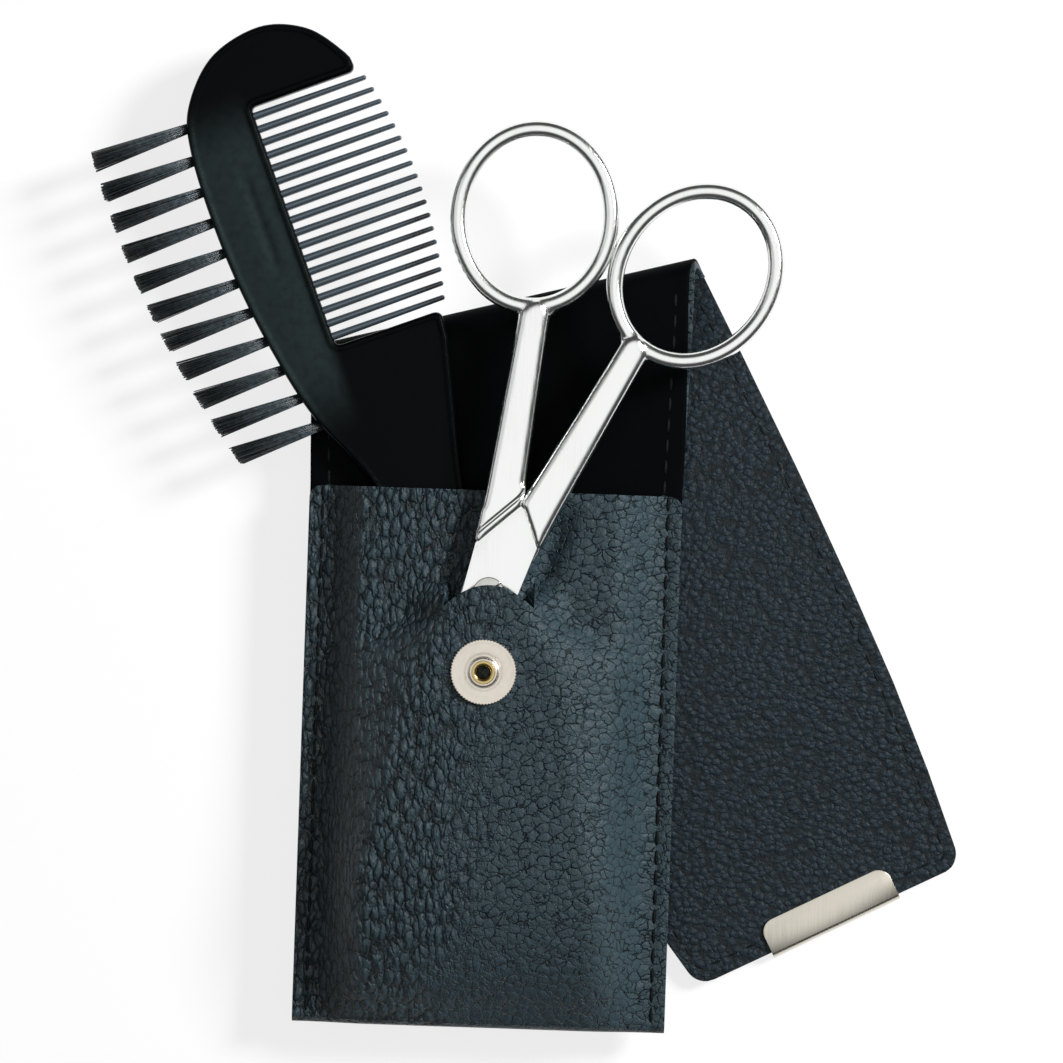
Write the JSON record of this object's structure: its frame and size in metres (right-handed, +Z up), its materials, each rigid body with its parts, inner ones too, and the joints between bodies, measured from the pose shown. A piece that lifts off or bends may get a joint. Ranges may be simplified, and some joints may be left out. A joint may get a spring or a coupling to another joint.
{
  "type": "beard grooming kit",
  "caption": "Leather pocket case with a folded-back flap and press stud, holding small scissors through a slit and a comb with bristle tufts.",
  "frame": {"origin": "middle of the kit's footprint, on the table it lies on", "axes": "+Z up from the table, +Y from the pocket's bottom to its mouth, +X to the side the flap lies on"},
  "size_m": [0.1496, 0.1672, 0.0194],
  "materials": {
    "grained_leather": "grained, satin",
    "smooth_lining": "smooth, matt",
    "nickel": "nickel plated, brushed",
    "brass": "bright",
    "spring_steel": "drawn wire",
    "satin_steel": "satin",
    "comb_plastic": "moulded, glossy",
    "bristle": "filament"
  },
  "bodies": {
    "pouch": {"back_panel": "grained_leather", "back_lining": "smooth_lining", "pocket_front": "grained_leather", "fold_leather": "grained_leather", "fold_lining": "smooth_lining", "snap_stud": "nickel", "snap_eyelet": "brass"},
    "flap": {"flap_leather": "grained_leather", "flap_lining": "smooth_lining", "edge_clip": "nickel", "snap_socket": "nickel", "snap_cap": "nickel", "snap_spring": "spring_steel"},
    "scissors_lower": {"scissors_lower_half": "satin_steel", "pivot_screw": "satin_steel"},
    "scissors_upper": {"scissors_upper_half": "satin_steel"},
    "comb": {"comb_frame": "comb_plastic", "bristle_tuft_01": "bristle", "bristle_tuft_02": "bristle", "bristle_tuft_03": "bristle", "bristle_tuft_04": "bristle", "bristle_tuft_05": "bristle", "bristle_tuft_06": "bristle", "bristle_tuft_07": "bristle", "bristle_tuft_08": "bristle", "bristle_tuft_09": "bristle", "bristle_tuft_10": "bristle", "bristle_tuft_11": "bristle", "tuft_staples": "brass"}
  },
  "joints": [
    {"name": "flap_fold", "type": "hinge", "parent": "pouch", "child": "flap", "pos_m": [-0.00518, 0.03506, 0.0033], "axis": [0.9668, 0.2554, 0], "range_deg": [0, 180], "deforming": ["fold_leather", "fold_lining"]},
    {"name": "scissors_slide", "type": "slide", "parent": "pouch", "child": "scissors_lower", "axis": [0.3107, 0.9505, 0], "range_m": [0, 0.055]},
    {"name": "scissors_pivot", "type": "hinge", "parent": "scissors_lower", "child": "scissors_upper", "pos_m": [-0.00578, -0.01058, 0.014], "axis": [0, 0, 1], "range_deg": [0, 36]},
    {"name": "comb_slide", "type": "slide", "parent": "pouch", "child": "comb", "axis": [-0.3681, 0.9298, 0], "range_m": [-0.005, 0.06]}
  ]
}
